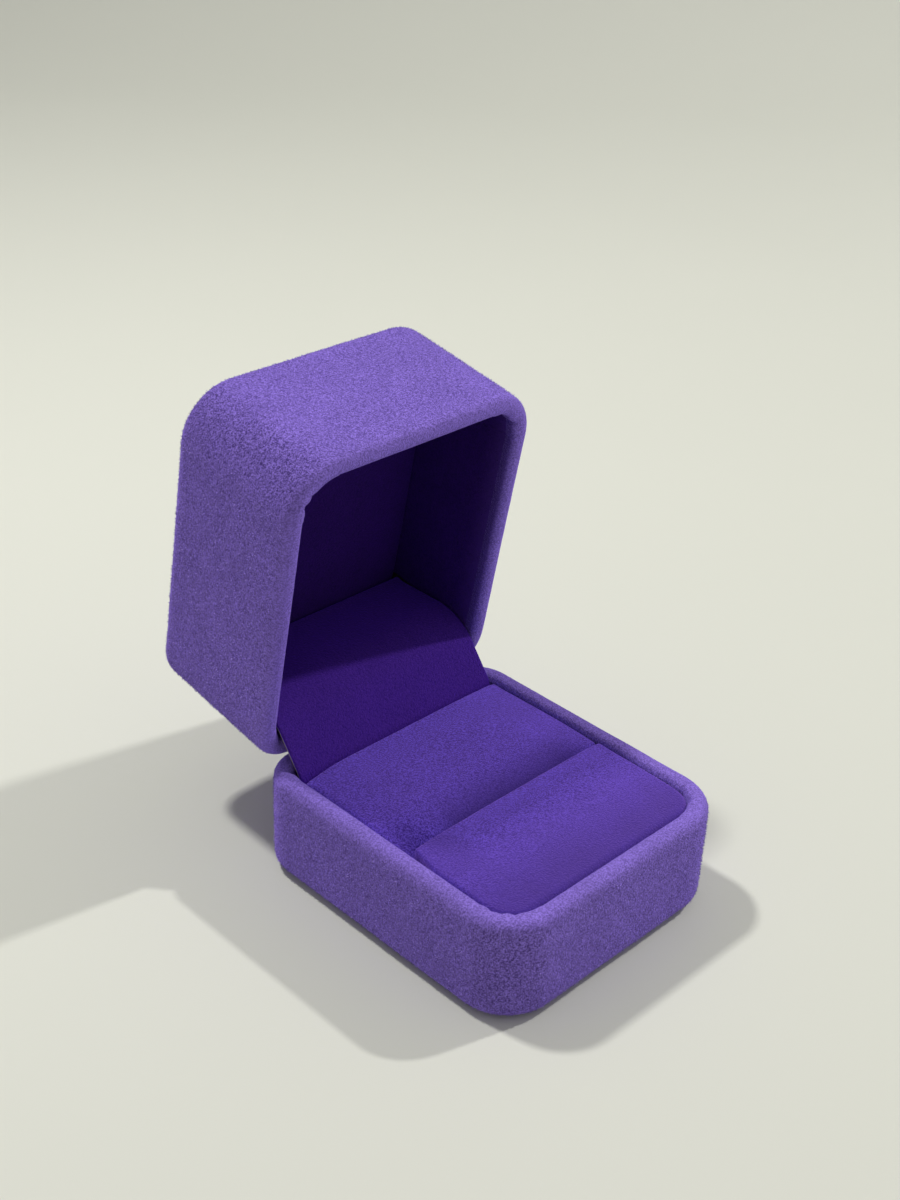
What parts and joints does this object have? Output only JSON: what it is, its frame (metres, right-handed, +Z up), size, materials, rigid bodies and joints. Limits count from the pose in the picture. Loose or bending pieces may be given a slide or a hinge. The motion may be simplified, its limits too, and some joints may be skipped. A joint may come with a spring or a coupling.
{
  "type": "hinged ring box",
  "caption": "Velvet-covered ring box with a hinged lid standing open, a two-part ring pad with a slot between, and a velvet flap over the hinge.",
  "frame": {"origin": "centre of the base's plan outline, on the surface that the box stands on", "axes": "+Z up, +Y from the front of the base towards the hinge, +X to the right seen from the front; the rest pose is the lid standing open"},
  "size_m": [0.055, 0.0897, 0.0852],
  "materials": {
    "shell_plastic": "matte",
    "cover_velvet": "matte",
    "pad_velvet": "matte",
    "lining_velvet": "matte",
    "underside_card": "matte",
    "plain_card": "matte",
    "pad_foam": "matte",
    "hinge_steel": "satin",
    "spring_steel": "satin",
    "rivet_brass": "satin"
  },
  "bodies": {
    "base": {"base_shell": "shell_plastic", "base_velvet": "cover_velvet", "base_underside_card": "underside_card", "pad_tray_card": "plain_card", "front_pad_board": "plain_card", "front_pad_foam": "pad_foam", "front_pad_velvet": "pad_velvet", "rear_pad_board": "plain_card", "rear_pad_foam": "pad_foam", "rear_pad_velvet": "pad_velvet", "hinge_base_leaf": "hinge_steel", "hinge_base_rivets": "rivet_brass", "hinge_spring": "spring_steel", "hinge_pin": "hinge_steel"},
    "lid": {"lid_shell": "shell_plastic", "lid_velvet": "cover_velvet", "lid_side_lining": "lining_velvet", "lid_pad_board": "plain_card", "lid_pad_foam": "pad_foam", "lid_pad_velvet": "lining_velvet", "hinge_lid_leaf": "hinge_steel", "hinge_lid_rivets": "rivet_brass", "flap_velvet": "lining_velvet", "flap_card": "plain_card"}
  },
  "joints": [
    {"name": "lid_hinge", "type": "hinge", "parent": "base", "child": "lid", "pos_m": [0, 0.0299, 0.02055], "axis": [1, 0, 0], "range_deg": [0, 80], "deforming": ["flap_velvet", "flap_card"]}
  ]
}
